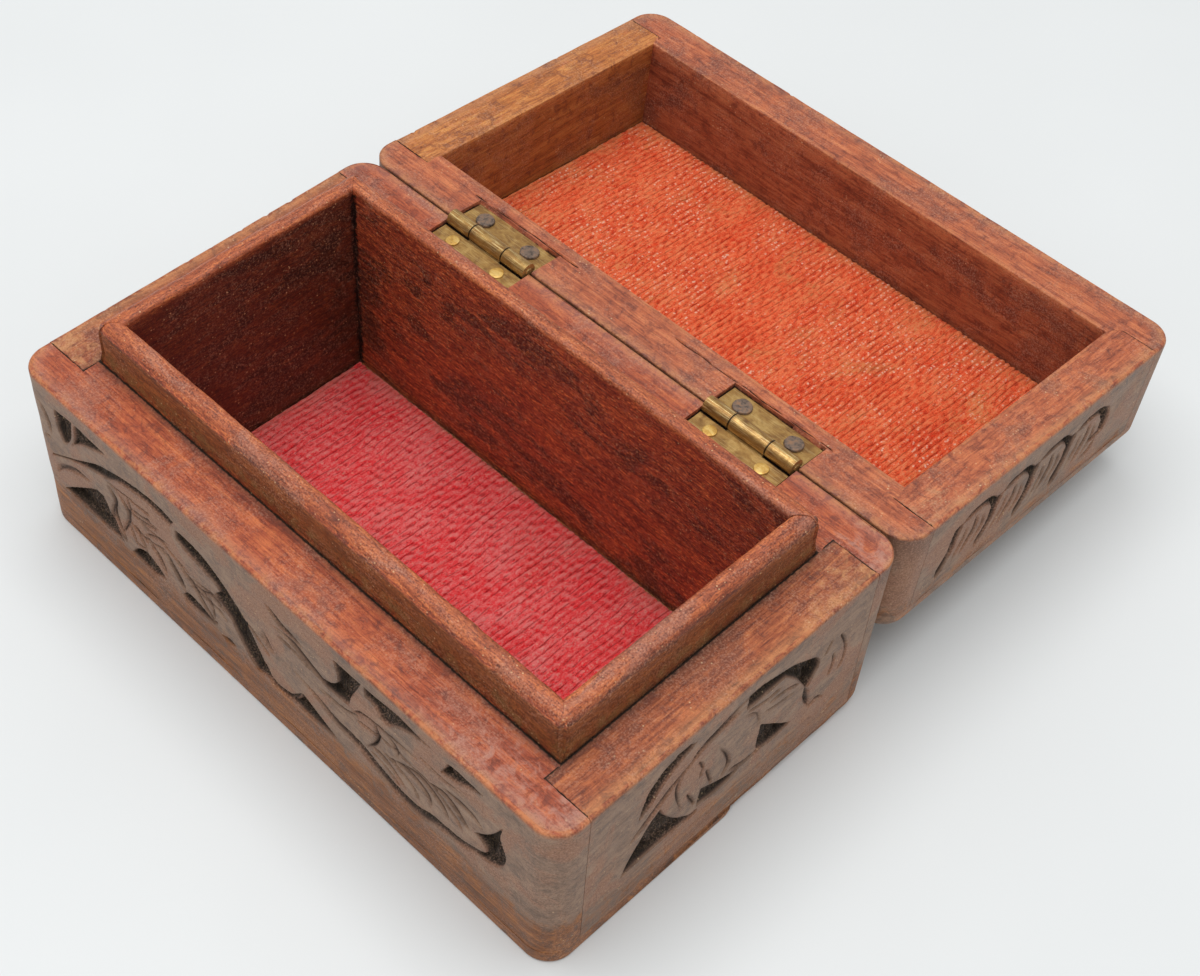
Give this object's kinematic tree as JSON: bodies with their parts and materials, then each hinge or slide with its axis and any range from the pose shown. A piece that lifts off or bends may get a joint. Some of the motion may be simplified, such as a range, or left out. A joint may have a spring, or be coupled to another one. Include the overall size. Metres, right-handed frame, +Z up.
{
  "type": "carved wooden box",
  "caption": "Small rectangular rosewood trinket box, carved with sunk foliage, with a hinged lid lying open, a raised inner liner and velvet floors.",
  "frame": {"origin": "centre of the base's underside, on the surface that the box stands on", "axes": "+Z up, +X along the long front to the right, +Y from the front to the hinges and the open lid"},
  "size_m": [0.165, 0.2003, 0.0605],
  "materials": {
    "sheesham_wood": "worn reddish-brown rosewood, grey-brown on the carved outer faces, dull wax",
    "liner_wood": "dark polished mahogany-brown wood",
    "crimson_velvet": "crimson-pink ribbed velvet",
    "orange_velvet": "orange-red ribbed velvet with dusty rows of specks",
    "brass": "old dull brass with brown tarnish",
    "iron": "dull grey iron nails with a little rust"
  },
  "bodies": {
    "base": {"base_front_board": "sheesham_wood", "base_back_board": "sheesham_wood", "base_left_end": "sheesham_wood", "base_right_end": "sheesham_wood", "base_bottom": "sheesham_wood", "liner_front": "liner_wood", "liner_back": "liner_wood", "liner_left": "liner_wood", "liner_right": "liner_wood", "base_velvet": "crimson_velvet", "left_hinge_base_leaf": "brass", "right_hinge_base_leaf": "brass", "base_hinge_nails": "brass"},
    "lid": {"lid_front_rail": "sheesham_wood", "lid_back_rail": "sheesham_wood", "lid_left_end": "sheesham_wood", "lid_right_end": "sheesham_wood", "lid_top_panel": "sheesham_wood", "lid_velvet": "orange_velvet", "left_hinge_lid_leaf": "brass", "right_hinge_lid_leaf": "brass", "left_hinge_pin": "brass", "right_hinge_pin": "brass", "lid_hinge_nails": "iron"}
  },
  "joints": [
    {"name": "lid_hinge", "type": "hinge", "parent": "base", "child": "lid", "pos_m": [0, 0.0503, 0.04865], "axis": [1, 0, 0], "range_deg": [0, 184]}
  ]
}
